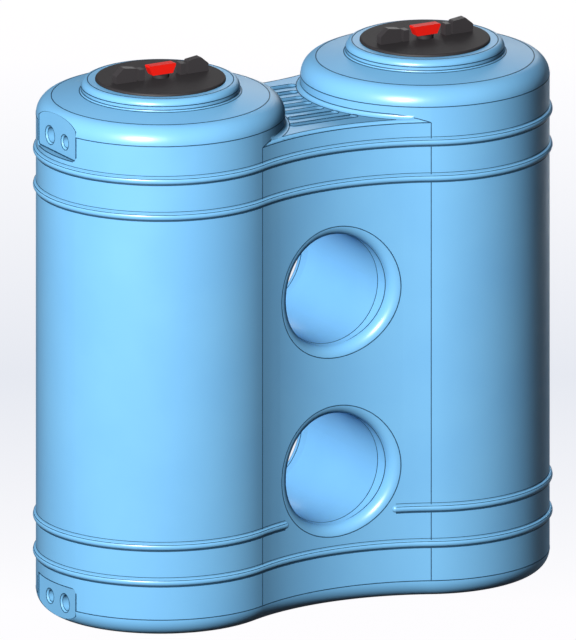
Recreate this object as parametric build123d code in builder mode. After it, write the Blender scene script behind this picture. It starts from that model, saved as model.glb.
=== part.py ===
"""Slimline rainwater tank: two round lobes joined by a waist, with two lift-off lids.

Millimetres, +Z up, the front is -Y, the port end is -X. The origin is the centre of the base.
"""

import os
from math import atan2, cos, degrees, radians, sin, sqrt, tan

from build123d import *

os.makedirs("parts", exist_ok=True)

# Plan of the tank
LOBE_RADIUS = 375.0
LOBE_SPACING = 908.0
WAIST_RADIUS = 661.0
WALL = 6.0

# Heights and roundings of the shell
BASE_ROUND = 56.0
DECK_Z = 1497.0
DECK_EDGE = 10.0
DECK_FOOT = 13.0
DECK_TIP_X = 268.0
SHOULDER_RISE = 38.0
SHOULDER_RADIUS = 56.0
SHOULDER_TURN = 80.0

# Grooves that stiffen the deck
GROOVE_PITCH = 64.0
GROOVE_WIDTH = 33.0
GROOVE_DEPTH = 7.0
GROOVE_TO_LOBE = 15.0

# Raised neck round each manhole
NECK_FOOT_FILLET = 5.5
NECK_RADIUS = 239.0
NECK_HEIGHT = 36.0
NECK_TOP_ROUND = 19.0
NECK_WALL = 7.0
THROAT_RADIUS = 185.0
THROAT_LENGTH = 53.0

# Through tunnels in the waist
TUNNEL_RADIUS = 172.0
TUNNEL_FLARE = 34.0
TUNNEL_COLLAR = 5.0
TUNNEL_TUBE_HALF = 217.0
TUNNEL_TAPER = 5.0
LOWER_TUNNEL_Z = 421.0
UPPER_TUNNEL_Z = 980.0

# Hoop ribs
RIB_HEIGHT = 22.0
RIB_PROUD = 9.0
BOTTOM_RIB_Z = 173.0
SHORT_RIB_Z = 284.0
SECOND_RIB_BELOW_DECK = 182.0
TOP_RIB_BELOW_DECK = 70.0
SHORT_RIB_END_X = 190.0

# Port pads on the left end
PAD_RECESS = 21.3
PAD_HALF_WIDTH = 117.0
PAD_CORNER = 13.0
UPPER_PAD_BELOW_SHOULDER = 78.0
UPPER_PORT_BELOW_SHOULDER = 32.0
LOWER_PAD_TOP_Z = 124.0
LOWER_PORT_Z = 63.5
PORT_OFFSET_Y = 46.0
LARGE_PORT_RADIUS = 24.0
SMALL_PORT_RADIUS = 18.5
PORT_CHAMFER = 5.5
PORT_DEPTH = 24.0
PORT_WALL = 5.0

# Lids
LID_OVERLAP = 12.0
LID_SKIRT_CLEARANCE = 5.5
LID_SKIRT_WALL = 5.0
LID_SKIRT_DROP = 44.0
LID_THICKNESS = 8.0
LID_EDGE_ROUND = 6.0
LUG_INNER_X = 88.0
LUG_PEAK_X = 132.0
LUG_OUTER_X = 158.0
LUG_WIDTH = 26.0
LUG_INNER_HEIGHT = 40.0
LUG_PEAK_HEIGHT = 46.0
LUG_OUTER_HEIGHT = 24.0
LUG_CORNER = 5.0
BLOCK_INNER_X = 62.0
BLOCK_OUTER_X = 81.0
BLOCK_WIDTH = 30.0
BLOCK_HEIGHT = 35.0
BLOCK_CORNER = 2.0
KNOB_TOP_LENGTH = 96.0
KNOB_FOOT_LENGTH = 70.0
KNOB_WIDTH = 28.0
KNOB_BOTTOM = 10.0
KNOB_HEIGHT = 30.0
KNOB_CORNER = 4.0
KNOB_FOOT_RADIUS = 26.0

HALF = LOBE_SPACING / 2.0
NECK_FOOT_RADIUS = NECK_RADIUS + NECK_FOOT_FILLET
CENTRES = LOBE_RADIUS + WAIST_RADIUS
WAIST_CENTRE_Y = sqrt(CENTRES**2 - HALF**2)
TANGENT_ANGLE = degrees(atan2(WAIST_CENTRE_Y, HALF))
TANGENT_X = HALF - LOBE_RADIUS * HALF / CENTRES
PAD_X = -HALF - LOBE_RADIUS + PAD_RECESS
SHOULDER_Z = DECK_Z + SHOULDER_RISE
UPPER_PORT_Z = SHOULDER_Z - UPPER_PORT_BELOW_SHOULDER
OVER = 60.0
REACH = HALF + LOBE_RADIUS + OVER
SIDE = LOBE_RADIUS + OVER


def figure_eight(inset):
    """Draw the plan outline of the tank, drawn in by the inset, as four tangent arcs."""
    lobe = LOBE_RADIUS - inset
    waist = WAIST_RADIUS + inset
    turn = 360.0 - 2.0 * TANGENT_ANGLE
    dip = 2.0 * TANGENT_ANGLE - 180.0
    CenterArc((-HALF, 0), lobe, TANGENT_ANGLE, turn)
    CenterArc((0, -WAIST_CENTRE_Y), waist, 180.0 - TANGENT_ANGLE, dip)
    CenterArc((HALF, 0), lobe, TANGENT_ANGLE - 180.0, turn)
    CenterArc((0, WAIST_CENTRE_Y), waist, -TANGENT_ANGLE, dip)


def cone_z(radius, inset):
    """Height of the shoulder cone over the given radius, for the skin drawn in by the inset."""
    slope = radians(90.0 - SHOULDER_TURN)
    bend = SHOULDER_RADIUS - inset
    start_r = LOBE_RADIUS - SHOULDER_RADIUS + bend * sin(slope)
    start_z = SHOULDER_Z + bend * cos(slope)
    return start_z + (start_r - radius) * tan(slope)


def lobe_profile(inset, inner_radius):
    """Draw the half section of a lobe above the base rounding, drawn in by the inset."""
    slope = radians(90.0 - SHOULDER_TURN)
    bend = SHOULDER_RADIUS - inset
    outer = LOBE_RADIUS - inset
    middle = radians(SHOULDER_TURN / 2.0)
    hub = LOBE_RADIUS - SHOULDER_RADIUS
    bend_end = (hub + bend * sin(slope), SHOULDER_Z + bend * cos(slope))
    cone_end = (inner_radius, cone_z(inner_radius, inset))
    Line((inner_radius, SHOULDER_Z - 2.0 * OVER), (outer, SHOULDER_Z - 2.0 * OVER))
    Line((outer, SHOULDER_Z - 2.0 * OVER), (outer, SHOULDER_Z))
    ThreePointArc(
        (outer, SHOULDER_Z),
        (hub + bend * cos(middle), SHOULDER_Z + bend * sin(middle)),
        bend_end,
    )
    Line(bend_end, cone_end)
    Line(cone_end, (inner_radius, SHOULDER_Z - 2.0 * OVER))


def pad_tool(depth, grow, low, high):
    """Block that stands on a port pad: its back face is `depth` behind the pad face."""
    height = high - low + 2.0 * grow
    width = 2.0 * (PAD_HALF_WIDTH + grow)
    with BuildSketch(Plane.YZ.offset(PAD_X + depth)) as face:
        with Locations((0, (low + high) / 2.0)):
            RectangleRounded(width, height, PAD_CORNER + grow)
    extrude(face.sketch, amount=-(PAD_RECESS + depth + OVER), mode=Mode.SUBTRACT)


NECK_TOP_Z = cone_z(NECK_FOOT_RADIUS, 0.0) + NECK_HEIGHT
THROAT_BOTTOM_Z = NECK_TOP_Z - THROAT_LENGTH
LID_TOP_Z = NECK_TOP_Z + LID_THICKNESS

UPPER_PAD_RANGE = (SHOULDER_Z - UPPER_PAD_BELOW_SHOULDER, SHOULDER_Z + 4.0 * OVER)
LOWER_PAD_RANGE = (-4.0 * OVER, LOWER_PAD_TOP_Z)

# Lower body: the outline with its rounded base edge, and the hollow inside it
with BuildPart() as base_solid:
    with BuildSketch():
        with BuildLine():
            figure_eight(0.0)
        make_face()
    extrude(amount=BASE_ROUND + OVER)
    fillet(base_solid.edges().group_by(Axis.Z)[0], BASE_ROUND)
    pad_tool(0.0, 0.0, *LOWER_PAD_RANGE)

with BuildPart() as base_hollow:
    with BuildSketch(Plane.XY.offset(WALL)):
        with BuildLine():
            figure_eight(WALL)
        make_face()
    extrude(amount=BASE_ROUND + OVER)
    fillet(base_hollow.edges().group_by(Axis.Z)[0], BASE_ROUND - WALL)
    pad_tool(WALL, WALL, *LOWER_PAD_RANGE)

with BuildPart() as base_pan:
    add(base_solid.part)
    add(base_hollow.part, mode=Mode.SUBTRACT)
    with BuildSketch(Plane.XY.offset(BASE_ROUND)):
        Rectangle(2.0 * REACH, 2.0 * SIDE)
    extrude(amount=2.0 * OVER, mode=Mode.SUBTRACT)
    with BuildSketch(Plane.YZ.offset(PAD_X)):
        with Locations((0, LOWER_PAD_TOP_Z / 2.0 - 2.0 * OVER)):
            RectangleRounded(
                2.0 * PAD_HALF_WIDTH, LOWER_PAD_TOP_Z + 4.0 * OVER, PAD_CORNER
            )
    extrude(amount=WALL, mode=Mode.SUBTRACT)


def write(builder, name):
    """Name a finished piece and save it under that name."""
    builder.part.label = name
    export_step(builder.part, f"parts/{name}.step")


# Flat floor, and the rounded edge round it in four lengths that follow the plan
with BuildPart() as base_floor:
    add(base_pan.part)
    with BuildSketch():
        with BuildLine():
            figure_eight(BASE_ROUND)
        make_face()
    extrude(amount=WALL, mode=Mode.INTERSECT)
write(base_floor, "base_floor")

with BuildPart() as base_edge:
    add(base_pan.part)
    with BuildSketch():
        with BuildLine():
            figure_eight(BASE_ROUND)
        make_face()
    extrude(amount=BASE_ROUND, mode=Mode.SUBTRACT)

LOBE_BLOCK = REACH - TANGENT_X
for x, y, width, depth, name in (
    (-TANGENT_X - LOBE_BLOCK / 2.0, 0.0, LOBE_BLOCK, 2.0 * SIDE, "left_base_edge"),
    (TANGENT_X + LOBE_BLOCK / 2.0, 0.0, LOBE_BLOCK, 2.0 * SIDE, "right_base_edge"),
    (0.0, -SIDE / 2.0, 2.0 * TANGENT_X, SIDE, "front_base_edge"),
    (0.0, SIDE / 2.0, 2.0 * TANGENT_X, SIDE, "back_base_edge"),
):
    with BuildPart() as edge_length:
        add(base_edge.part)
        with BuildSketch():
            with Locations((x, y)):
                Rectangle(width, depth)
        extrude(amount=BASE_ROUND, mode=Mode.INTERSECT)
    write(edge_length, name)

# Cylindrical wall of a lobe, solid and hollow, with the pockets of both port pads
with BuildPart() as port_lobe_solid:
    with BuildSketch(Plane.XY.offset(BASE_ROUND)):
        with Locations((-HALF, 0)):
            Circle(LOBE_RADIUS)
    extrude(amount=SHOULDER_Z - BASE_ROUND)
    pad_tool(0.0, 0.0, *UPPER_PAD_RANGE)
    pad_tool(0.0, 0.0, *LOWER_PAD_RANGE)

with BuildPart() as port_lobe_hollow:
    with BuildSketch(Plane.XY.offset(BASE_ROUND)):
        with Locations((-HALF, 0)):
            Circle(LOBE_RADIUS - WALL)
    extrude(amount=SHOULDER_Z - BASE_ROUND)
    pad_tool(WALL, WALL, *UPPER_PAD_RANGE)
    pad_tool(WALL, WALL, *LOWER_PAD_RANGE)


def pad_plate(low, high, mode):
    """Flat plate of a port pad, in the face plane of the pad."""
    with BuildSketch(Plane.YZ.offset(PAD_X)) as plate:
        with Locations((0, (low + high) / 2.0)):
            RectangleRounded(2.0 * PAD_HALF_WIDTH, high - low, PAD_CORNER)
    extrude(plate.sketch, amount=WALL, mode=mode)


with BuildPart() as left_wall:
    add(port_lobe_solid.part)
    add(port_lobe_hollow.part, mode=Mode.SUBTRACT)
    pad_plate(*UPPER_PAD_RANGE, Mode.SUBTRACT)
    pad_plate(*LOWER_PAD_RANGE, Mode.SUBTRACT)
    with BuildSketch(Plane.YZ.offset(-TANGENT_X)):
        with Locations((0, SHOULDER_Z / 2.0)):
            Rectangle(2.0 * SIDE, 2.0 * SHOULDER_Z)
    extrude(amount=LOBE_SPACING, mode=Mode.SUBTRACT)
write(left_wall, "left_wall")

with BuildPart() as right_wall:
    with BuildSketch(Plane.XY.offset(BASE_ROUND)):
        with Locations((HALF, 0)):
            Circle(LOBE_RADIUS)
            Circle(LOBE_RADIUS - WALL, mode=Mode.SUBTRACT)
        with Locations((TANGENT_X - LOBE_SPACING / 2.0, 0)):
            Rectangle(LOBE_SPACING, 2.0 * SIDE, mode=Mode.SUBTRACT)
    extrude(amount=SHOULDER_Z - BASE_ROUND)
write(right_wall, "right_wall")

# Walls of the lobes that face each other above the deck
for side, name in ((-1, "left_inner_wall"), (1, "right_inner_wall")):
    with BuildPart() as inner_wall:
        with BuildSketch(Plane.XY.offset(DECK_Z - DECK_EDGE)):
            with Locations((side * HALF, 0)):
                Circle(LOBE_RADIUS)
                Circle(LOBE_RADIUS - WALL, mode=Mode.SUBTRACT)
            with Locations((side * (TANGENT_X + LOBE_SPACING / 2.0), 0)):
                Rectangle(LOBE_SPACING, 2.0 * SIDE, mode=Mode.SUBTRACT)
        extrude(amount=SHOULDER_Z - DECK_Z + DECK_EDGE)
    write(inner_wall, name)

# Waist: concave front and back walls with two flared tunnels between them
TUNNEL_SPOTS = ((0, LOWER_TUNNEL_Z), (0, UPPER_TUNNEL_Z))
TUNNEL_REACH = TUNNEL_RADIUS + TUNNEL_FLARE + TUNNEL_COLLAR
WAIST_TOP_Z = DECK_Z - DECK_EDGE


def waist_block(inset):
    """Build the waist, drawn in by the inset, with its flared tunnels cut through."""
    with BuildPart() as block:
        with BuildSketch(Plane.XY.offset(BASE_ROUND)):
            with BuildLine():
                figure_eight(inset)
            make_face()
        extrude(amount=WAIST_TOP_Z - BASE_ROUND)
        for _, height in TUNNEL_SPOTS:
            bore = TUNNEL_RADIUS + inset
            mouth = bore + (SIDE - TUNNEL_TUBE_HALF) * tan(radians(TUNNEL_TAPER))
            with BuildSketch(Plane.XY.offset(height)):
                with BuildLine():
                    Polyline(
                        (0, -SIDE),
                        (mouth, -SIDE),
                        (bore, -TUNNEL_TUBE_HALF),
                        (bore, TUNNEL_TUBE_HALF),
                        (mouth, SIDE),
                        (0, SIDE),
                        close=True,
                    )
                make_face()
            axis = Axis((0, 0, height), (0, 1, 0))
            revolve(axis=axis, mode=Mode.SUBTRACT)
        sized = [(edge, edge.bounding_box().size) for edge in block.edges()]
        rims = [
            edge
            for edge, size in sized
            if min(size.X, size.Z) > TUNNEL_RADIUS and size.Y > 1.0
        ]
        fillet(rims, TUNNEL_FLARE - inset)
    return block


waist_solid = waist_block(0.0)
waist_hollow = waist_block(WALL)

with BuildPart() as waist_shell:
    add(waist_solid.part)
    add(waist_hollow.part, mode=Mode.SUBTRACT)
    with BuildSketch(Plane.XY.offset(BASE_ROUND)):
        Rectangle(2.0 * TANGENT_X, 2.0 * SIDE)
    extrude(amount=WAIST_TOP_Z - BASE_ROUND, mode=Mode.INTERSECT)

for side, name in ((-1, "front_waist_wall"), (1, "back_waist_wall")):
    with BuildPart() as waist_wall:
        add(waist_shell.part)
        with BuildSketch(Plane.XZ):
            with Locations(*TUNNEL_SPOTS):
                Circle(TUNNEL_REACH)
        extrude(amount=SIDE, both=True, mode=Mode.SUBTRACT)
        with BuildSketch(Plane.XY.offset(BASE_ROUND)):
            with Locations((0, side * SIDE)):
                Rectangle(2.0 * REACH, 2.0 * SIDE)
        extrude(amount=WAIST_TOP_Z - BASE_ROUND, mode=Mode.INTERSECT)
    write(waist_wall, name)

TUNNEL_PIECES = (
    (0.0, 2.0 * TUNNEL_TUBE_HALF, "tube"),
    (-(SIDE + TUNNEL_TUBE_HALF) / 2.0, SIDE - TUNNEL_TUBE_HALF, "front_mouth"),
    ((SIDE + TUNNEL_TUBE_HALF) / 2.0, SIDE - TUNNEL_TUBE_HALF, "back_mouth"),
)
for height, tag in ((LOWER_TUNNEL_Z, "lower_tunnel"), (UPPER_TUNNEL_Z, "upper_tunnel")):
    for y, length, kind in TUNNEL_PIECES:
        with BuildPart() as tunnel:
            add(waist_shell.part)
            with BuildSketch(Plane.XZ.offset(-y)):
                with Locations((0, height)):
                    Circle(TUNNEL_REACH)
            extrude(amount=length / 2.0, both=True, mode=Mode.INTERSECT)
        write(tunnel, f"{tag}_{kind}")

# Deck between the lobes, with its rounded front and back edges and stiffening grooves

def deck_block(inset):
    """Build the top of the waist, drawn in by the inset, with the grooves pressed in."""
    with BuildPart() as block:
        with BuildSketch(Plane.XY.offset(WAIST_TOP_Z - OVER)):
            with BuildLine():
                figure_eight(inset)
            make_face()
        extrude(amount=DECK_Z - inset - WAIST_TOP_Z + OVER)
        fillet(block.edges().group_by(Axis.Z)[-1], DECK_EDGE - inset)
        for step in range(-3, 4):
            y = step * GROOVE_PITCH
            gap = HALF - sqrt(LOBE_RADIUS**2 - y**2)
            length = 2.0 * (gap - GROOVE_TO_LOBE + inset)
            with BuildSketch(Plane.XY.offset(DECK_Z - GROOVE_DEPTH - inset)):
                with Locations((0, y)):
                    SlotOverall(length, GROOVE_WIDTH + 2.0 * inset)
            extrude(amount=OVER, mode=Mode.SUBTRACT)
        with BuildSketch(Plane.XY.offset(WAIST_TOP_Z)):
            Rectangle(2.0 * DECK_TIP_X, 2.0 * SIDE)
            with Locations((-HALF, 0), (HALF, 0)):
                Circle(LOBE_RADIUS, mode=Mode.SUBTRACT)
        extrude(amount=OVER, mode=Mode.INTERSECT)
    return block


deck_solid = deck_block(0.0)
deck_hollow = deck_block(WALL)

# Hollow fillet where the deck turns up into each lobe
with BuildPart() as deck_foot:
    with BuildSketch(Plane.XZ):
        with BuildLine():
            Line((LOBE_RADIUS, DECK_Z), (LOBE_RADIUS + DECK_FOOT, DECK_Z))
            CenterArc(
                (LOBE_RADIUS + DECK_FOOT, DECK_Z + DECK_FOOT), DECK_FOOT, -90.0, -90.0
            )
            Line((LOBE_RADIUS, DECK_Z + DECK_FOOT), (LOBE_RADIUS, DECK_Z))
        make_face()
    revolve(axis=Axis.Z)

deck_feet = []
for side in (-1, 1):
    with BuildPart() as foot:
        add(deck_foot.part.moved(Location((side * HALF, 0, 0))))
        with BuildSketch(Plane.XY.offset(DECK_Z)):
            with BuildLine():
                figure_eight(DECK_EDGE / 2.0)
            make_face()
            Rectangle(2.0 * DECK_TIP_X, 2.0 * SIDE, mode=Mode.INTERSECT)
        extrude(amount=DECK_FOOT, mode=Mode.INTERSECT)
    deck_feet.append(foot.part)

with BuildPart() as deck:
    add(deck_solid.part)
    add(deck_hollow.part, mode=Mode.SUBTRACT)
    add(deck_feet)
write(deck, "deck")

# Shoulders: rounded edge and shallow cone that rises to the neck
with BuildPart() as shoulder_ring:
    with BuildSketch(Plane.XZ):
        with BuildLine():
            lobe_profile(0.0, NECK_FOOT_RADIUS)
        make_face()
    revolve(axis=Axis.Z)

with BuildPart() as shoulder_hollow:
    with BuildSketch(Plane.XZ):
        with BuildLine():
            lobe_profile(WALL, NECK_FOOT_RADIUS - WALL)
        make_face()
    revolve(axis=Axis.Z)

with BuildPart() as port_shoulder_solid:
    add(shoulder_ring.part.moved(Location((-HALF, 0, 0))))
    pad_tool(0.0, 0.0, *UPPER_PAD_RANGE)

with BuildPart() as port_shoulder_hollow:
    add(shoulder_hollow.part.moved(Location((-HALF, 0, 0))))
    pad_tool(WALL, WALL, *UPPER_PAD_RANGE)

with BuildPart() as left_shoulder:
    add(port_shoulder_solid.part)
    add(port_shoulder_hollow.part, mode=Mode.SUBTRACT)
    pad_plate(*UPPER_PAD_RANGE, Mode.SUBTRACT)
    with BuildSketch(Plane.XY.offset(SHOULDER_Z)):
        Rectangle(2.0 * REACH, 2.0 * SIDE)
    extrude(amount=-4.0 * OVER, mode=Mode.SUBTRACT)
write(left_shoulder, "left_shoulder")

with BuildPart() as right_shoulder:
    add(shoulder_ring.part.moved(Location((HALF, 0, 0))))
    add(shoulder_hollow.part.moved(Location((HALF, 0, 0))), mode=Mode.SUBTRACT)
    with BuildSketch(Plane.XY.offset(SHOULDER_Z)):
        Rectangle(2.0 * REACH, 2.0 * SIDE)
    extrude(amount=-4.0 * OVER, mode=Mode.SUBTRACT)
write(right_shoulder, "right_shoulder")

# Port pads: flat plates with two blind dished sockets each
UPPER_PORTS = (
    (PORT_OFFSET_Y, UPPER_PORT_Z, LARGE_PORT_RADIUS),
    (-PORT_OFFSET_Y, UPPER_PORT_Z, SMALL_PORT_RADIUS),
)
LOWER_PORTS = (
    (-PORT_OFFSET_Y, LOWER_PORT_Z, LARGE_PORT_RADIUS),
    (PORT_OFFSET_Y, LOWER_PORT_Z, SMALL_PORT_RADIUS),
)


def port_pad(envelope, plate_range, ports):
    """Build a pad plate trimmed to the shell, with a cup behind each socket."""
    with BuildPart() as pad:
        pad_plate(*plate_range, Mode.ADD)
        add(envelope, mode=Mode.INTERSECT)
        for y, z, radius in ports:
            with BuildSketch(Plane.YZ.offset(PAD_X + WALL)) as cup:
                with Locations((y, z)):
                    Circle(radius + PORT_WALL)
            extrude(cup.sketch, amount=PORT_DEPTH + PORT_WALL - WALL)
        for y, z, radius in ports:
            with BuildSketch(Plane.YZ.offset(PAD_X)) as bore:
                with Locations((y, z)):
                    Circle(radius)
            extrude(bore.sketch, amount=PORT_DEPTH, mode=Mode.SUBTRACT)
        radii = (LARGE_PORT_RADIUS, SMALL_PORT_RADIUS)
        rims = [
            edge
            for edge in pad.edges().filter_by(GeomType.CIRCLE).group_by(Axis.X)[0]
            if min(abs(edge.radius - radius) for radius in radii) < 0.1
        ]
        chamfer(rims, PORT_CHAMFER)
    return pad


with BuildPart() as upper_envelope:
    with BuildSketch(Plane.XY.offset(BASE_ROUND)):
        with Locations((-HALF, 0)):
            Circle(LOBE_RADIUS)
    extrude(amount=SHOULDER_Z - BASE_ROUND)
    add(shoulder_ring.part.moved(Location((-HALF, 0, 0))))

with BuildPart() as lower_envelope:
    with BuildSketch():
        with Locations((-HALF, 0)):
            Circle(LOBE_RADIUS)
    extrude(amount=2.0 * LOWER_PAD_TOP_Z)
    fillet(lower_envelope.edges().group_by(Axis.Z)[0], BASE_ROUND)

upper_port_pad = port_pad(upper_envelope.part, UPPER_PAD_RANGE, UPPER_PORTS)
write(upper_port_pad, "upper_port_pad")
lower_port_pad = port_pad(lower_envelope.part, LOWER_PAD_RANGE, LOWER_PORTS)
write(lower_port_pad, "lower_port_pad")

# Necks: folded rings with a flat crown that carries the lid
for side, name in ((-1, "left_neck"), (1, "right_neck")):
    with BuildPart() as neck:
        with BuildSketch(Plane.XZ) as section:
            with BuildLine():
                Polyline(
                    (NECK_FOOT_RADIUS, cone_z(NECK_FOOT_RADIUS, 0.0)),
                    (NECK_RADIUS, cone_z(NECK_RADIUS, 0.0)),
                    (NECK_RADIUS, NECK_TOP_Z),
                    (THROAT_RADIUS, NECK_TOP_Z),
                    (THROAT_RADIUS, THROAT_BOTTOM_Z),
                    (THROAT_RADIUS + NECK_WALL, THROAT_BOTTOM_Z),
                    (THROAT_RADIUS + NECK_WALL, NECK_TOP_Z - NECK_WALL),
                    (NECK_RADIUS - NECK_WALL, NECK_TOP_Z - NECK_WALL),
                    (NECK_RADIUS - NECK_WALL, cone_z(NECK_RADIUS - NECK_WALL, WALL)),
                    (NECK_FOOT_RADIUS, cone_z(NECK_FOOT_RADIUS, WALL)),
                    close=True,
                )
            make_face()
            brow = (NECK_RADIUS, NECK_TOP_Z)
            fillet(section.vertices().sort_by_distance(brow)[0], NECK_TOP_ROUND)
            crease = (NECK_RADIUS - NECK_WALL, NECK_TOP_Z - NECK_WALL)
            fillet(section.vertices().sort_by_distance(crease)[0], NECK_TOP_ROUND - NECK_WALL)
            foot = (NECK_RADIUS, cone_z(NECK_RADIUS, 0.0))
            fillet(section.vertices().sort_by_distance(foot)[0], NECK_FOOT_FILLET)
        revolve(axis=Axis.Z)
    neck.part.locate(Location((side * HALF, 0, 0)))
    write(neck, name)

# Hoop ribs: half-round bands that lie on the wall
RIB_RADIUS = ((RIB_HEIGHT / 2.0) ** 2 + RIB_PROUD**2) / (2.0 * RIB_PROUD)
RIB_INSET = RIB_RADIUS - RIB_PROUD


def trim_to_wall():
    """Cut away what lies behind the outer face of the wall."""
    with BuildSketch() as inside:
        with BuildLine():
            figure_eight(0.0)
        make_face()
    extrude(inside.sketch, amount=SHOULDER_Z, mode=Mode.SUBTRACT)


for height, name in (
    (BOTTOM_RIB_Z, "bottom_rib"),
    (DECK_Z - SECOND_RIB_BELOW_DECK, "second_rib"),
    (DECK_Z - TOP_RIB_BELOW_DECK, "top_rib"),
):
    with BuildPart() as rib:
        with BuildLine(Plane.XY.offset(height)) as path:
            figure_eight(RIB_INSET)
        with BuildSketch(Plane(origin=path.line @ 0, z_dir=path.line % 0)):
            Circle(RIB_RADIUS)
        sweep(path=path.wire())
        trim_to_wall()
    write(rib, name)

# The third rib stops on each side of the lower tunnel with a rounded end
RIB_WAIST = WAIST_RADIUS + RIB_INSET
RIB_STOP = degrees(atan2(SHORT_RIB_END_X, sqrt(RIB_WAIST**2 - SHORT_RIB_END_X**2)))
RIB_TANGENT = 90.0 - TANGENT_ANGLE
RIB_SWING = RIB_TANGENT - RIB_STOP
with BuildPart() as left_short_rib:
    with BuildLine(Plane.XY.offset(SHORT_RIB_Z)) as path:
        CenterArc((0, WAIST_CENTRE_Y), RIB_WAIST, -90.0 - RIB_STOP, -RIB_SWING)
        CenterArc(
            (-HALF, 0),
            LOBE_RADIUS - RIB_INSET,
            TANGENT_ANGLE,
            360.0 - 2.0 * TANGENT_ANGLE,
        )
        CenterArc((0, -WAIST_CENTRE_Y), RIB_WAIST, 90.0 + RIB_TANGENT, -RIB_SWING)
    with BuildSketch(Plane(origin=path.line @ 0, z_dir=path.line % 0)):
        Circle(RIB_RADIUS)
    sweep(path=path.wire())
    with Locations(path.line @ 0, path.line @ 1):
        Sphere(RIB_RADIUS)
    trim_to_wall()
write(left_short_rib, "left_short_rib")

with BuildPart() as right_short_rib:
    add(left_short_rib.part.mirror(Plane.YZ))
write(right_short_rib, "right_short_rib")

# Lids: a disc that lies on the crown of the neck, with a skirt that centres it
LID_RADIUS = THROAT_RADIUS + LID_OVERLAP
SKIRT_RADIUS = THROAT_RADIUS - LID_SKIRT_CLEARANCE
for side, tag in ((-1, "left"), (1, "right")):
    with BuildPart() as lid:
        with BuildSketch(Plane.XY.offset(NECK_TOP_Z)):
            Circle(LID_RADIUS)
        extrude(amount=LID_THICKNESS)
        fillet(lid.edges().group_by(Axis.Z)[-1], LID_EDGE_ROUND)
        with BuildSketch(Plane.XY.offset(NECK_TOP_Z)):
            Circle(SKIRT_RADIUS)
            Circle(SKIRT_RADIUS - LID_SKIRT_WALL, mode=Mode.SUBTRACT)
        extrude(amount=-LID_SKIRT_DROP)
    lid.part.locate(Location((side * HALF, 0, 0)))
    write(lid, f"{tag}_lid")

    with BuildPart() as lug:
        with BuildSketch(Plane.XZ.offset(-LUG_WIDTH / 2.0)) as section:
            with BuildLine():
                Polyline(
                    (LUG_INNER_X, LID_TOP_Z),
                    (LUG_INNER_X, LID_TOP_Z + LUG_INNER_HEIGHT),
                    (LUG_PEAK_X, LID_TOP_Z + LUG_PEAK_HEIGHT),
                    (LUG_OUTER_X, LID_TOP_Z + LUG_OUTER_HEIGHT),
                    (LUG_OUTER_X, LID_TOP_Z),
                    close=True,
                )
            make_face()
            tops = [corner for corner in section.vertices() if corner.Y > LID_TOP_Z + 1.0]
            fillet(tops, LUG_CORNER)
        extrude(amount=LUG_WIDTH)
    with BuildPart() as block:
        with BuildSketch(Plane.XY.offset(LID_TOP_Z)):
            with Locations(((BLOCK_INNER_X + BLOCK_OUTER_X) / 2.0, 0)):
                Rectangle(BLOCK_OUTER_X - BLOCK_INNER_X, BLOCK_WIDTH)
        extrude(amount=BLOCK_HEIGHT)
        fillet(block.edges().group_by(Axis.Z)[-1], BLOCK_CORNER)
    for end, spot in ((1, "right"), (-1, "left")):
        for piece, kind in ((lug, "lug"), (block, "block")):
            with BuildPart() as placed:
                turned = piece.part if end == 1 else piece.part.mirror(Plane.YZ)
                add(turned.moved(Location((side * HALF, 0, 0))))
            write(placed, f"{tag}_lid_{spot}_{kind}")

    with BuildPart() as knob_foot:
        with BuildSketch(Plane.XY.offset(LID_TOP_Z)):
            Circle(KNOB_FOOT_RADIUS)
        extrude(amount=KNOB_BOTTOM)
    knob_foot.part.locate(Location((side * HALF, 0, 0)))
    write(knob_foot, f"{tag}_lid_knob_foot")

    with BuildPart() as knob:
        with BuildSketch(Plane.XZ.offset(-KNOB_WIDTH / 2.0)) as section:
            with BuildLine():
                Polyline(
                    (-KNOB_FOOT_LENGTH / 2.0, LID_TOP_Z + KNOB_BOTTOM),
                    (KNOB_FOOT_LENGTH / 2.0, LID_TOP_Z + KNOB_BOTTOM),
                    (KNOB_TOP_LENGTH / 2.0, LID_TOP_Z + KNOB_BOTTOM + KNOB_HEIGHT),
                    (-KNOB_TOP_LENGTH / 2.0, LID_TOP_Z + KNOB_BOTTOM + KNOB_HEIGHT),
                    close=True,
                )
            make_face()
            fillet(section.vertices(), KNOB_CORNER)
        extrude(amount=KNOB_WIDTH)
    knob.part.locate(Location((side * HALF, 0, 0)))
    write(knob, f"{tag}_lid_knob")
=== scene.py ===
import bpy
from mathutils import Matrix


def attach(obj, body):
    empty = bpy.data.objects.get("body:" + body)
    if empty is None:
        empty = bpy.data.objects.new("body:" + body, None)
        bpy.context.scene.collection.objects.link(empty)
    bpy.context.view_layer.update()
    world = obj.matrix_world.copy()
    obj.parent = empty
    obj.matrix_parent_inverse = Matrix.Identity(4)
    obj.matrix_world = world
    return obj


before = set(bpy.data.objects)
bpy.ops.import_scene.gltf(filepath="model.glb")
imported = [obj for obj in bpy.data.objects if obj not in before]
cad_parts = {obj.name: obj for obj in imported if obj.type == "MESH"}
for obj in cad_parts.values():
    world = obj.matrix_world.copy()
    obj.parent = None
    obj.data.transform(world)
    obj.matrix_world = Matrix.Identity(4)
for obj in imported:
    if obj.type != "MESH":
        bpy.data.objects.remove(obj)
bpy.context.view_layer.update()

from math import acos, asin, atan2, cos, pi, radians, sin, sqrt

import bpy
from mathutils import Matrix, Vector

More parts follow.
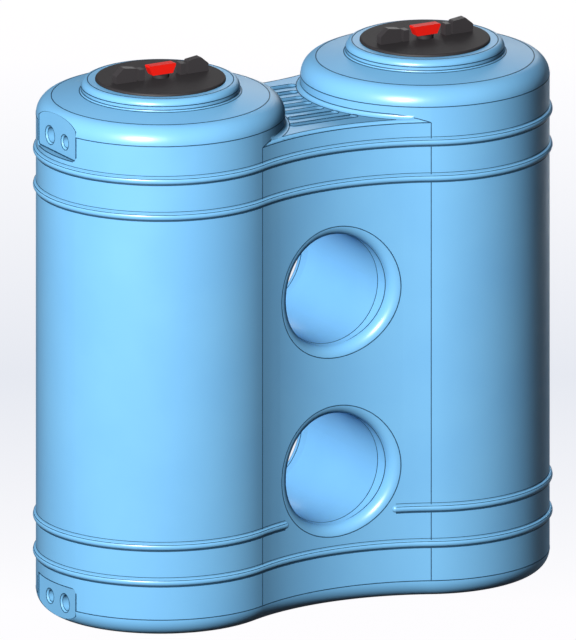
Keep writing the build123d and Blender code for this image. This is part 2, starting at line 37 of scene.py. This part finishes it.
# Camera. A parallel one, at the height, turn and scale of the picture, in which one pixel is
# 3.007 mm all over the tank.
METRES_PER_PIXEL = 0.003007
PICTURE_HEIGHT = 640
PICTURE_CENTRE = (-4.8, 264.6)
CAMERA_DISTANCE = 8.0
RIGHT = Vector((0.8759, -0.4825, 0.0)).normalized()
UP = Vector((0.1308, 0.2374, 0.9626)).normalized()
BACK = RIGHT.cross(UP).normalized()
CENTRE = (RIGHT * PICTURE_CENTRE[0] + UP * PICTURE_CENTRE[1]) * METRES_PER_PIXEL

camera_data = bpy.data.cameras.new("tank_camera")
camera_data.type = "ORTHO"
camera_data.ortho_scale = PICTURE_HEIGHT * METRES_PER_PIXEL
camera_data.clip_end = 50.0
camera = bpy.data.objects.new("tank_camera", camera_data)
bpy.context.scene.collection.objects.link(camera)
turn = Matrix((RIGHT, UP, BACK)).transposed().to_4x4()
camera.matrix_world = Matrix.Translation(CENTRE + BACK * CAMERA_DISTANCE) @ turn
bpy.context.scene.camera = camera

# Lamps. Four square soft ones. The main one, upper left in front, throws no shadow and no bounced
# light, as in the picture. A weak one lifts the far flank, and two low ones, which leave no gloss,
# light the back and the right end.
TANK_MIDDLE = Vector((0.0, 0.0, 0.8))


def aim(direction):
    """Matrix of a lamp that looks along -direction, with its top as high as can be."""
    back = Vector(direction).normalized()
    right = Vector((0, 0, 1)).cross(back).normalized()
    up = back.cross(right)
    return Matrix((right, up, back)).transposed().to_4x4()


def lamp(name, place, size, watts):
    """Add a square soft lamp that points at the middle of the tank."""
    data = bpy.data.lights.new(name, "AREA")
    data.shape = "SQUARE"
    data.size = size
    data.energy = watts
    item = bpy.data.objects.new(name, data)
    bpy.context.scene.collection.objects.link(item)
    place = Vector(place)
    item.matrix_world = Matrix.Translation(place) @ aim(place - TANK_MIDDLE)
    return item


main_light = lamp("main_lamp", (-8.5, -7.0, 7.0), 2.6, 2400.0).data
main_light.use_shadow = False
if hasattr(main_light, "cycles"):
    main_light.cycles.max_bounces = 0
lamp("flank_lamp", (3.3, 4.3, 3.0), 2.4, 22.0)
lamp("rear_lamp", (4.2, 7.6, 1.0), 1.8, 560.0).visible_glossy = False
lamp("end_lamp", (4.6, 3.2, 1.2), 1.8, 130.0).visible_glossy = False

# Floor and backdrop. A matt painted floor in a pale room. The camera sees them nearly white, with a
# faint blue band across the floor, and the rest of what it sees there is the floor's own paint. The
# gloss of the tank mirrors that white in small part.
MILLIMETRE = 0.001
FLOOR_SIZE = 30.0
FLOOR_DROP = 0.5 * MILLIMETRE
FLOOR_GREY = "808284"
AMBIENT_WHITE = "F2F6FA"
AMBIENT_STRENGTH = 0.07
BACKDROP_WHITE = "FEFDFF"
BACKDROP_BLUE = "E6E9F1"
BAND_NEAR = -0.2
BAND_FAR = 5.6
BAND_MIDDLE = 0.42
BACKDROP_STRENGTH = 1.04
BACKDROP_SHARE = 0.95
BACKGROUND_IN_GLOSS = 0.06


def linear(text):
    """Turn an sRGB hex colour such as 86CFFF into the linear colour that Blender works in."""
    parts = [int(text[i:i + 2], 16) / 255.0 for i in (0, 2, 4)]
    return [c / 12.92 if c <= 0.04045 else ((c + 0.055) / 1.055) ** 2.4 for c in parts] + [1.0]


def shader(name):
    """Start a material with its Principled shader, and return its tree and that shader."""
    material = bpy.data.materials.new(name)
    material.use_nodes = True
    tree = material.node_tree
    return material, tree, tree.nodes["Principled BSDF"]


def node(tree, kind, settings=None, links=None):
    """Add a node, set its properties or input values, and link sockets into its inputs."""
    item = tree.nodes.new(kind)
    for key, value in (settings or {}).items():
        if isinstance(key, int) or key in item.inputs:
            item.inputs[key].default_value = value
        else:
            setattr(item, key, value)
    for key, socket in (links or {}).items():
        tree.links.new(socket, item.inputs[key])
    return item


def sees_background(tree):
    """Light Path rays that meet the pale background: camera and glass in full, gloss in part."""
    path = node(tree, "ShaderNodeLightPath")
    gloss = node(tree, "ShaderNodeMath", {"operation": "MULTIPLY", 1: BACKGROUND_IN_GLOSS},
                 {0: path.outputs["Is Glossy Ray"]})
    glass = node(tree, "ShaderNodeMath", {"operation": "MAXIMUM"},
                 {0: path.outputs["Is Transmission Ray"], 1: gloss.outputs[0]})
    seen = node(tree, "ShaderNodeMath", {"operation": "MAXIMUM"},
                {0: path.outputs["Is Camera Ray"], 1: glass.outputs[0]})
    return seen.outputs[0]


world = bpy.data.worlds.new("studio")
bpy.context.scene.world = world
world.use_nodes = True
sky = world.node_tree
for item in list(sky.nodes):
    sky.nodes.remove(item)
ambient = node(sky, "ShaderNodeBackground",
               {"Color": linear(AMBIENT_WHITE), "Strength": AMBIENT_STRENGTH})
white = node(sky, "ShaderNodeBackground", {"Color": linear("FFFFFF"), "Strength": 1.0})
mixed = node(sky, "ShaderNodeMixShader", None,
             {0: sees_background(sky), 1: ambient.outputs[0], 2: white.outputs[0]})
node(sky, "ShaderNodeOutputWorld", None, {"Surface": mixed.outputs[0]})

bpy.ops.object.select_all(action="DESELECT")
bpy.ops.mesh.primitive_plane_add(size=FLOOR_SIZE, location=(0, 0, -FLOOR_DROP))
floor = bpy.context.active_object
floor.name = "studio_floor"
floor_paint, tree, surface = shader("pale_floor_paint")
surface.inputs["Roughness"].default_value = 0.9
surface.inputs["Base Color"].default_value = linear(FLOOR_GREY)
place = node(tree, "ShaderNodeTexCoord")
along = node(tree, "ShaderNodeVectorMath", {"operation": "DOT_PRODUCT"},
             {0: place.outputs["Object"]})
along.inputs[1].default_value = (-BACK.x, -BACK.y, 0.0)
fade = node(tree, "ShaderNodeMapRange", {"From Min": BAND_NEAR, "From Max": BAND_FAR},
            {"Value": along.outputs["Value"]})
bands = node(tree, "ShaderNodeValToRGB", None, {"Fac": fade.outputs["Result"]})
bands.color_ramp.elements[0].color = linear(BACKDROP_WHITE)
bands.color_ramp.elements[1].color = linear(BACKDROP_WHITE)
dip = bands.color_ramp.elements.new(BAND_MIDDLE)
dip.color = linear(BACKDROP_BLUE)
glow = node(tree, "ShaderNodeEmission", {"Strength": BACKDROP_STRENGTH},
            {"Color": bands.outputs["Color"]})
both = node(tree, "ShaderNodeMath", {"operation": "MULTIPLY", 1: BACKDROP_SHARE},
            {0: sees_background(tree)})
cover = node(tree, "ShaderNodeMixShader", None,
             {0: both.outputs[0], 1: surface.outputs[0], 2: glow.outputs[0]})
tree.links.new(cover.outputs[0], tree.nodes["Material Output"].inputs["Surface"])
floor.data.materials.append(floor_paint)

# Tank shell. One rotomoulded skin of linear low density polyethylene, light blue all through. The
# powder melts against the inside of a hot steel mould, so the outside copies the mould: a satin
# skin with a faint orange peel, and long soft waves where it shrank as it cooled.
SKIN_BLUE = "79BCEB"
SKIN_BLUE_PALE = "7BBEEC"
SKIN_BLUE_DEEP = "77BAEA"
PEEL_SIZE = 5.0 * MILLIMETRE
PEEL_DEPTH = 0.4 * MILLIMETRE
WAVE_SIZE = 260.0 * MILLIMETRE
WAVE_DEPTH = 6.0 * MILLIMETRE
POLYETHYLENE_IOR = 1.51

skin, tree, surface = shader("rotomoulded_polyethylene")
surface.inputs["Roughness"].default_value = 0.34
surface.inputs["IOR"].default_value = POLYETHYLENE_IOR
surface.inputs["Specular IOR Level"].default_value = 0.8
place = node(tree, "ShaderNodeTexCoord")
cloud = node(tree, "ShaderNodeTexNoise",
             {"Scale": 1.0 / WAVE_SIZE, "Detail": 3.0, "Roughness": 0.5},
             {"Vector": place.outputs["Object"]})
tint = node(tree, "ShaderNodeValToRGB", None, {"Fac": cloud.outputs["Fac"]})
tint.color_ramp.elements[0].position = 0.35
tint.color_ramp.elements[0].color = linear(SKIN_BLUE_DEEP)
tint.color_ramp.elements[1].position = 0.65
tint.color_ramp.elements[1].color = linear(SKIN_BLUE_PALE)
middle = tint.color_ramp.elements.new(0.5)
middle.color = linear(SKIN_BLUE)
tree.links.new(tint.outputs["Color"], surface.inputs["Base Color"])
peel = node(tree, "ShaderNodeTexNoise",
            {"Scale": 1.0 / PEEL_SIZE, "Detail": 2.0, "Roughness": 0.55},
            {"Vector": place.outputs["Object"]})
dimple = node(tree, "ShaderNodeBump", {"Strength": 0.12, "Distance": PEEL_DEPTH},
              {"Height": peel.outputs["Fac"]})
swell = node(tree, "ShaderNodeBump", {"Strength": 0.10, "Distance": WAVE_DEPTH},
             {"Height": cloud.outputs["Fac"], "Normal": dimple.outputs["Normal"]})
tree.links.new(swell.outputs["Normal"], surface.inputs["Normal"])


def dress(parts, material):
    """Give every CAD node whose name starts or ends with one of the parts the material."""
    for name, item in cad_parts.items():
        if any(name.startswith(part) or name.endswith(part) for part in parts):
            for held in item.material_slots:
                held.material = material


dress([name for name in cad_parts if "_lid" not in name], skin)

# Lids. Injection moulded polypropylene discs that screw into the necks, black with a fine
# spark-eroded grain, so they look an even charcoal with a weak wide sheen.
LID_BLACK = "2E2B2D"
GRAIN_SIZE = 1.6 * MILLIMETRE
GRAIN_DEPTH = 0.15 * MILLIMETRE

lid_plastic, tree, surface = shader("black_polypropylene")
surface.inputs["Roughness"].default_value = 0.6
surface.inputs["IOR"].default_value = 1.49
surface.inputs["Base Color"].default_value = linear(LID_BLACK)
place = node(tree, "ShaderNodeTexCoord")
grain = node(tree, "ShaderNodeTexVoronoi", {"Scale": 1.0 / GRAIN_SIZE},
             {"Vector": place.outputs["Object"]})
pits = node(tree, "ShaderNodeBump", {"Strength": 0.25, "Distance": GRAIN_DEPTH},
            {"Height": grain.outputs["Distance"]})
tree.links.new(pits.outputs["Normal"], surface.inputs["Normal"])
dress([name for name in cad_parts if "_lid" in name and not name.endswith("_knob")],
      lid_plastic)

# Lugs and blocks of the lids. The same black polypropylene, moulded in one with the disc from
# polished inserts in the mould, so their facets catch more light than the grained disc. Their black
# is also a shade lighter than the disc's, as painted sheen.
LUG_SHEEN_BLACK = "3B383A"

lug_plastic = lid_plastic.copy()
lug_plastic.name = "black_polypropylene_lug"
surface = lug_plastic.node_tree.nodes["Principled BSDF"]
surface.inputs["Roughness"].default_value = 0.4
# A lighter black than the disc: painted sheen on the lug facets.
surface.inputs["Base Color"].default_value = linear(LUG_SHEEN_BLACK)
dress(["_lug", "_block"], lug_plastic)

# Knobs. Injection moulded ABS in signal red, each pressed onto its lid on a round foot. The satin
# finish of the mould gives an even red with one soft wide highlight.
KNOB_RED = "EB190A"
KNOB_RED_DEEP = "E4170A"
BLUSH_SIZE = 25.0 * MILLIMETRE

knob_plastic, tree, surface = shader("red_abs")
surface.inputs["Roughness"].default_value = 0.48
surface.inputs["IOR"].default_value = 1.53
place = node(tree, "ShaderNodeTexCoord")
blush = node(tree, "ShaderNodeTexNoise", {"Scale": 1.0 / BLUSH_SIZE, "Detail": 2.0},
             {"Vector": place.outputs["Object"]})
shade = node(tree, "ShaderNodeMix", {"data_type": "RGBA"}, {"Factor": blush.outputs["Fac"]})
shade.inputs[6].default_value = linear(KNOB_RED)
shade.inputs[7].default_value = linear(KNOB_RED_DEEP)
tree.links.new(shade.outputs[2], surface.inputs["Base Color"])
dress(["_knob"], knob_plastic)

# Witness lines on the shell. Each joint between the machined faces of the mould leaves a hair line
# on the skin. They are narrow flat beads of the same polyethylene, darker with settled dust, and
# the broad ones under the hoops are painted shade as well: one small section is carried round each
# joint by spins and pushes, as the mould maker's cutter went.
LOBE = 375.0 * MILLIMETRE
LOBE_X = 454.0 * MILLIMETRE
WAIST = 661.0 * MILLIMETRE
WAIST_Y = sqrt((LOBE + WAIST) ** 2 - LOBE_X ** 2)
TANGENT = atan2(WAIST_Y, LOBE_X)
TANGENT_X = LOBE_X - LOBE * cos(TANGENT)
TANGENT_Y = LOBE * sin(TANGENT)
LINE_WIDTH = 3.0 * MILLIMETRE
LINE_PROUD = 0.6 * MILLIMETRE
LINE_BLUE = "1A4462"
LINE_BLUE_PALE = "245274"
DUST_PATCHES_PER_METRE = 60.0
SPIN_STEPS_PER_RADIAN = 28
LEAST_SPIN_STEPS = 4
MERGE_DISTANCE = 0.15 * MILLIMETRE

line_skin, tree, surface = shader("polyethylene_line_dust_and_painted_shade")
surface.inputs["Roughness"].default_value = 0.55
surface.inputs["IOR"].default_value = POLYETHYLENE_IOR
place = node(tree, "ShaderNodeTexCoord")
dust = node(tree, "ShaderNodeTexNoise", {"Scale": DUST_PATCHES_PER_METRE, "Detail": 3.0},
            {"Vector": place.outputs["Object"]})
shade = node(tree, "ShaderNodeMix", {"data_type": "RGBA"}, {"Factor": dust.outputs["Fac"]})
shade.inputs[6].default_value = linear(LINE_BLUE)
shade.inputs[7].default_value = linear(LINE_BLUE_PALE)
tree.links.new(shade.outputs[2], surface.inputs["Base Color"])


def bead(name, place, turn, size, moves, closed=True):
    """Carry a flat section of the given size along spins (centre, axis, angle) and pushes."""
    bpy.ops.object.select_all(action="DESELECT")
    bpy.ops.mesh.primitive_plane_add(size=1.0, location=place, rotation=turn)
    item = bpy.context.active_object
    item.scale = (size[0], size[1], 1.0)
    bpy.ops.object.transform_apply(location=True, rotation=True, scale=True)
    bpy.ops.object.mode_set(mode="EDIT")
    bpy.ops.mesh.select_mode(type="VERT")
    bpy.ops.mesh.select_all(action="SELECT")
    if closed:
        bpy.ops.mesh.delete(type="ONLY_FACE")
        bpy.ops.mesh.select_all(action="SELECT")
    for move in moves:
        if len(move) == 3 and hasattr(move[0], "__len__"):
            centre, axis, angle = move
            steps = max(LEAST_SPIN_STEPS, int(abs(angle) * SPIN_STEPS_PER_RADIAN))
            bpy.ops.mesh.spin(steps=steps, angle=-angle, center=centre, axis=axis)
        else:
            bpy.ops.mesh.extrude_region_move(TRANSFORM_OT_translate={"value": move})
    bpy.ops.mesh.select_all(action="SELECT")
    bpy.ops.mesh.remove_doubles(threshold=MERGE_DISTANCE)
    bpy.ops.mesh.normals_make_consistent(inside=False)
    bpy.ops.object.mode_set(mode="OBJECT")
    item.name = item.data.name = name
    item.data.materials.append(line_skin)
    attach(item, "tank")
    return item


# Lines of the full hoops. Each hoop has three: a broad dark one along its underside and lower root,
# which is a joint line and painted shade of the underside, a thin one over it, and a thin one along
# its crown.
Z_AXIS = (0, 0, 1)
LOBE_TURN = 2 * pi - 2 * TANGENT
WAIST_TURN = pi - 2 * TANGENT
BAND = (2 * LINE_PROUD, LINE_WIDTH)
HOOPS = (("bottom_rib", 173.0), ("second_rib", 1315.0), ("top_rib", 1427.0))
# The broad band under each hoop is a dark bead laid over the shaded underside: painted shade.
SHADED_UNDERSIDE_BAND = (2.4 * MILLIMETRE, 5.4 * MILLIMETRE)
THIN_BAND = (2 * LINE_PROUD, 1.8 * MILLIMETRE)
HOOP_LINES = (("low", -12.2, 0.0, SHADED_UNDERSIDE_BAND), ("crown", 7.0, 6.55, THIN_BAND),
              ("high", 15.4, 0.0, THIN_BAND))
for hoop, height in HOOPS:
    for word, rise, out, size in HOOP_LINES:
        z = (height + rise) * MILLIMETRE
        reach = LOBE + out * MILLIMETRE
        bead(f"{hoop}_{word}_line", (-LOBE_X + reach * cos(TANGENT), reach * sin(TANGENT), z),
             (pi / 2, 0, TANGENT), size,
             (((-LOBE_X, 0, 0), Z_AXIS, LOBE_TURN), ((0, -WAIST_Y, 0), Z_AXIS, -WAIST_TURN),
              ((LOBE_X, 0, 0), Z_AXIS, LOBE_TURN), ((0, WAIST_Y, 0), Z_AXIS, -WAIST_TURN)))

# Lines that stop at the port pads: the one over the base rounding, and the one under the left
# shoulder. Both end at the side walls of the pad.
PAD_HALF = 117.0 * MILLIMETRE
PAD_SPREAD = asin(PAD_HALF / LOBE)
BASE_ROUND = 56.0 * MILLIMETRE
SHOULDER = 1535.0 * MILLIMETRE
TO_WAIST = pi - TANGENT - PAD_SPREAD
for name, z, moves in (
        ("base_edge_line", BASE_ROUND,
         (((-LOBE_X, 0, 0), Z_AXIS, TO_WAIST), ((0, -WAIST_Y, 0), Z_AXIS, -WAIST_TURN),
          ((LOBE_X, 0, 0), Z_AXIS, LOBE_TURN), ((0, WAIST_Y, 0), Z_AXIS, -WAIST_TURN),
          ((-LOBE_X, 0, 0), Z_AXIS, TO_WAIST))),
        ("left_shoulder_low_line", SHOULDER,
         (((-LOBE_X, 0, 0), Z_AXIS, 2 * (pi - PAD_SPREAD)),))):
    bead(name, (-LOBE_X - LOBE * cos(PAD_SPREAD), -PAD_HALF, z), (pi / 2, 0, pi + PAD_SPREAD), BAND,
         moves, closed=False)

# Rings on each lobe. They stand where the wall turns into the shoulder, the shoulder into the cone
# and the cone into the neck, and at the edges of the neck's round brow. All are full circles.
RINGS = (("shoulder_low_line", 375.0, 1535.0, 0.0), ("shoulder_high_line", 328.6, 1590.4, 80.0),
         ("neck_foot_line", 244.5, 1605.2, 70.0), ("neck_collar_line", 239.3, 1611.0, 10.0),
         ("neck_brow_line", 239.0, 1622.0, 0.0), ("neck_crown_line", 220.0, 1641.0, 90.0))
for side, word in ((-1, "left"), (1, "right")):
    for name, radius, height, lean in RINGS[1:] if side < 0 else RINGS:
        bead(f"{word}_{name}",
             (side * LOBE_X + radius * MILLIMETRE, 0, height * MILLIMETRE),
             (pi / 2, radians(-lean), 0), BAND, (((side * LOBE_X, 0, 0), Z_AXIS, 2 * pi),))

# Lines of the waist: the tall joints where the waist meets the lobes, the rounded edges of the deck
# and the foot of each lobe on the deck. The deck's own lines stop at the sharp corner of each tip.
DECK = 1497.0 * MILLIMETRE
DECK_EDGE = 10.0 * MILLIMETRE
DECK_FOOT = 13.0 * MILLIMETRE
UPRIGHT = (LINE_WIDTH, 2 * LINE_PROUD)
for x_side, x_word in ((-1, "left"), (1, "right")):
    for y_side, y_word in ((-1, "front"), (1, "back")):
        bearing = atan2(y_side * WAIST_Y, -x_side * LOBE_X)
        bead(f"{x_word}_{y_word}_tangent_line",
             (x_side * TANGENT_X, y_side * TANGENT_Y, BASE_ROUND),
             (0, 0, bearing + pi / 2), UPRIGHT, ((0, 0, DECK - DECK_EDGE - BASE_ROUND),),
             closed=False)

CENTRES = LOBE + WAIST
FOOT_REACH = LOBE + DECK_FOOT
EDGE_REACH = WAIST + DECK_EDGE
FOOT_TRIM = acos((CENTRES ** 2 + FOOT_REACH ** 2 - EDGE_REACH ** 2) / (2 * CENTRES * FOOT_REACH))
EDGE_TRIM = acos((CENTRES ** 2 + EDGE_REACH ** 2 - FOOT_REACH ** 2) / (2 * CENTRES * EDGE_REACH))
for y_side, y_word in ((-1, "front"), (1, "back")):
    for name, reach, height, lean, trim in (
            ("deck_low_edge_line", WAIST, DECK - DECK_EDGE, 0.0, 0.0),
            ("deck_high_edge_line", EDGE_REACH, DECK, 90.0, EDGE_TRIM)):
        start = y_side * (TANGENT - pi + trim)
        bead(f"{y_word}_{name}",
             (reach * cos(start), y_side * WAIST_Y + reach * sin(start), height),
             (pi / 2, radians(lean), start), BAND,
             (((0, y_side * WAIST_Y, 0), Z_AXIS, y_side * (WAIST_TURN - 2 * trim)),), closed=False)

# The joint above the foot dives to the sharp corner of the deck over the last stretch at each end.
DIVE = radians(20.0)
DROP = DECK_FOOT + DECK_EDGE
for side, word in ((-1, "left"), (1, "right")):
    for name, radius, height, lean, trim in (("deck_foot_line", FOOT_REACH, DECK, 90.0, FOOT_TRIM),
                                             ("deck_rise_line", LOBE, DECK + DECK_FOOT, 0.0, 0.0)):
        start = (trim - TANGENT) if side < 0 else (pi + trim - TANGENT)
        line = bead(f"{word}_{name}",
                    (side * LOBE_X + radius * cos(start), radius * sin(start), height),
                    (pi / 2, radians(lean), start), BAND,
                    (((side * LOBE_X, 0, 0), Z_AXIS, 2 * (TANGENT - trim)),), closed=False)
        if name == "deck_rise_line":
            for corner in line.data.vertices:
                bearing = atan2(abs(corner.co.y), abs(corner.co.x - side * LOBE_X))
                near = max(0.0, bearing - TANGENT + DIVE) / DIVE
                corner.co.z -= DROP * near ** 2

# Lines of the tunnels: the outer one lies on the curved waist wall and follows its hollow, the one
# inside it ends the flare, and the deepest marks where the straight tube begins.
TUNNELS = (("lower", 421.0), ("upper", 980.0))
TUBE = 172.0 * MILLIMETRE
TUBE_HALF = 217.0 * MILLIMETRE
FLARE_DEPTH = 34.0
Y_AXIS = (0, 1, 0)
ACROSS = (LINE_WIDTH, 2 * LINE_PROUD)
for word, height in TUNNELS:
    z = height * MILLIMETRE
    bead(f"{word}_tunnel_tube_line", (TUBE, -TUBE_HALF, z), (0, 0, 0), BAND,
         (((0, 0, z), Y_AXIS, 2 * pi),))
    for y_side, y_word in ((-1, "front"), (1, "back")):
        for name, radius, sink, size in (
                ("flare_high_line", 204.5, 0.0, ACROSS),
                ("flare_low_line", 174.5, FLARE_DEPTH, BAND)):
            ring = bead(f"{word}_tunnel_{y_word}_{name}", (radius * MILLIMETRE, 0, z), (0, 0, 0),
                        size, (((0, 0, z), Y_AXIS, 2 * pi),))
            for corner in ring.data.vertices:
                wall = WAIST_Y - sqrt(WAIST ** 2 - corner.co.x ** 2) - sink * MILLIMETRE
                corner.co.y += y_side * wall

# Deck. The same moulded skin. Its seven pressed channels are painted a shade darker below the level
# of the deck, as painted shade in the recesses, and a dark line stands round the lip of each.
GROOVES = 7
GROOVE_PITCH = 64.0 * MILLIMETRE
GROOVE_HALF_WIDTH = 16.5 * MILLIMETRE
GROOVE_GAP = 15.0 * MILLIMETRE
GROOVE_LINE = (4.4 * MILLIMETRE, 5.5 * MILLIMETRE)
SHADE_DEPTH = 2.0 * MILLIMETRE
SHADE_FREE_EDGE = 2.0 * MILLIMETRE
CHANNEL_SHADE_BLUE = "639AC2"

deck_skin = skin.copy()
deck_skin.name = "rotomoulded_polyethylene_deck"
tree = deck_skin.node_tree
surface = tree.nodes["Principled BSDF"]
place = node(tree, "ShaderNodeTexCoord")
height = node(tree, "ShaderNodeSeparateXYZ", None, {"Vector": place.outputs["Object"]})
# Painted shade in the channels: the base colour turns a darker blue over the first 2 mm below the
# deck, but not near its rounded edges.
depth = node(tree, "ShaderNodeMapRange", {"From Min": DECK, "From Max": DECK - SHADE_DEPTH},
             {"Value": height.outputs["Z"]})
flat = node(tree, "ShaderNodeVectorMath", {"operation": "ABSOLUTE"}, {0: place.outputs["Object"]})
flat = node(tree, "ShaderNodeVectorMath", {"operation": "MULTIPLY", 1: (1.0, 1.0, 0.0)},
            {0: flat.outputs["Vector"]})
reach = node(tree, "ShaderNodeVectorMath", {"operation": "DISTANCE", 1: (0.0, WAIST_Y, 0.0)},
             {0: flat.outputs["Vector"]})
inside = node(tree, "ShaderNodeMath",
              {"operation": "GREATER_THAN", 1: EDGE_REACH + SHADE_FREE_EDGE},
              {0: reach.outputs["Value"]})
channel_shade = node(tree, "ShaderNodeMath", {"operation": "MULTIPLY"},
             {0: depth.outputs["Result"], 1: inside.outputs[0]})
unshaded = surface.inputs["Base Color"].links[0].from_socket
shade = node(tree, "ShaderNodeMix", {"data_type": "RGBA"}, {"Factor": channel_shade.outputs[0]})
tree.links.new(unshaded, shade.inputs[6])
shade.inputs[7].default_value = linear(CHANNEL_SHADE_BLUE)
tree.links.new(shade.outputs[2], surface.inputs["Base Color"])
dress(["deck"], deck_skin)

for count in range(GROOVES):
    y = (count - GROOVES // 2) * GROOVE_PITCH
    half = LOBE_X - sqrt(LOBE ** 2 - y ** 2) - GROOVE_GAP - GROOVE_HALF_WIDTH
    bead(f"groove_{count + 1}_line", (half, y - GROOVE_HALF_WIDTH, DECK), (0, pi / 2, pi / 2),
         GROOVE_LINE, (((half, y, DECK), Z_AXIS, pi), (-2 * half, 0, 0),
                       ((-half, y, DECK), Z_AXIS, pi), (2 * half, 0, 0)))

# Lines of the port pads, two flats moulded into the left end to take pipe fittings. A line runs
# round each flat, one up each of its side walls and one along the curved lip of its ledge, and two
# ring each dished socket.
PAD_X = -807.7 * MILLIMETRE
PAD_SINK = 20.0 * MILLIMETRE
PAD_CORNER = 13.0 * MILLIMETRE
PAD_LINE = 4.5 * MILLIMETRE
SIDE_LINE_OUT = 0.005
SOCKET_DISH = 5.5
SOCKET_LINE = (2 * LINE_PROUD, LINE_WIDTH * 0.7)
PADS = (("upper", 1, 1457.0, 1535.0,
         (("large", 46.0, 1503.0, 24.0), ("small", -46.0, 1503.0, 18.5))),
        ("lower", -1, 124.0, 56.0,
         (("large", -46.0, 63.5, 24.0), ("small", 46.0, 63.5, 18.5))))
HUB = 319.0 * MILLIMETRE
ROUNDING = 56.0 * MILLIMETRE
X_AXIS = (1, 0, 0)
ARCH_STEPS = 16


def arch(level, up, side):
    """Points across the pad where its plane cuts the rounded edge of the shell, just inside it."""
    heights = []
    for i in range(ARCH_STEPS + 1):
        y = side * (2.0 * i / ARCH_STEPS - 1.0)
        reach = sqrt((PAD_X + LOBE_X) ** 2 + y ** 2) - HUB
        heights.append((y, level + up * (sqrt(ROUNDING ** 2 - reach ** 2) - PAD_LINE / 3)))
    return heights


for word, up, edge, level, sockets in PADS:
    side = PAD_HALF - PAD_LINE / 2
    curve = arch(level * MILLIMETRE, up, side)
    turn_z = edge * MILLIMETRE + up * PAD_CORNER
    inner = PAD_HALF - PAD_CORNER
    fall = turn_z - curve[0][1]
    moves = [(0, 0, fall), ((PAD_X, inner, turn_z), X_AXIS, -up * pi / 2), (0, -2 * inner, 0),
             ((PAD_X, -inner, turn_z), X_AXIS, -up * pi / 2), (0, 0, -fall)]
    moves += [(0, b[0] - a[0], b[1] - a[1]) for a, b in zip(curve, curve[1:])]
    bead(f"{word}_pad_line", (PAD_X, side, curve[0][1]), (0, 0, 0),
         (2 * LINE_PROUD, PAD_LINE), moves)
    spread = atan2(inner, LOBE - PAD_SINK)
    bead(f"{word}_pad_lip_line",
         (-LOBE_X - LOBE * cos(spread), LOBE * sin(spread), edge * MILLIMETRE),
         (pi / 2, 0, pi - spread), BAND, (((-LOBE_X, 0, 0), Z_AXIS, 2 * spread),), closed=False)
    bearing = pi + PAD_SPREAD + SIDE_LINE_OUT
    for y_side, y_word in ((-1, "front"), (1, "back")):
        bead(f"{word}_pad_{y_word}_side_line",
             (-LOBE_X + LOBE * cos(bearing), -y_side * LOBE * sin(bearing), turn_z),
             (0, 0, -y_side * bearing + pi / 2), (PAD_LINE, 2 * LINE_PROUD),
             ((0, 0, level * MILLIMETRE - turn_z),), closed=False)
    for size, y, z, radius in sockets:
        for name, reach, sink in (("rim_line", radius + SOCKET_DISH, 0.0),
                                  ("bore_line", radius, SOCKET_DISH)):
            centre = (PAD_X + sink * MILLIMETRE, y * MILLIMETRE, z * MILLIMETRE)
            bead(f"{word}_{size}_socket_{name}",
                 (centre[0], centre[1] + reach * MILLIMETRE, centre[2]), (0, 0, 0),
                 SOCKET_LINE, ((centre, X_AXIS, 2 * pi),))

# Lines of the short hoops, which stop beside the lower tunnel. They have the same three lines as
# the full ones, from one rounded end round the lobe to the other.
STOP = radians(16.7)
SHORT_HOOP = 284.0
for x_side, x_word in ((-1, "left"), (1, "right")):
    for name, rise, out, size in HOOP_LINES:
        z = (SHORT_HOOP + rise) * MILLIMETRE
        start = -pi / 2 - STOP if x_side < 0 else pi / 2 - STOP
        waist_y = WAIST_Y if x_side < 0 else -WAIST_Y
        bend = -(pi / 2 - TANGENT - STOP)
        reach = WAIST - out * MILLIMETRE
        bead(f"{x_word}_short_rib_{name}_line",
             (reach * cos(start), waist_y + reach * sin(start), z), (pi / 2, 0, start), size,
             (((0, waist_y, 0), Z_AXIS, bend), ((x_side * LOBE_X, 0, 0), Z_AXIS, LOBE_TURN),
              ((0, -waist_y, 0), Z_AXIS, bend)), closed=False)

bpy.context.scene.view_settings.view_transform = "Standard"
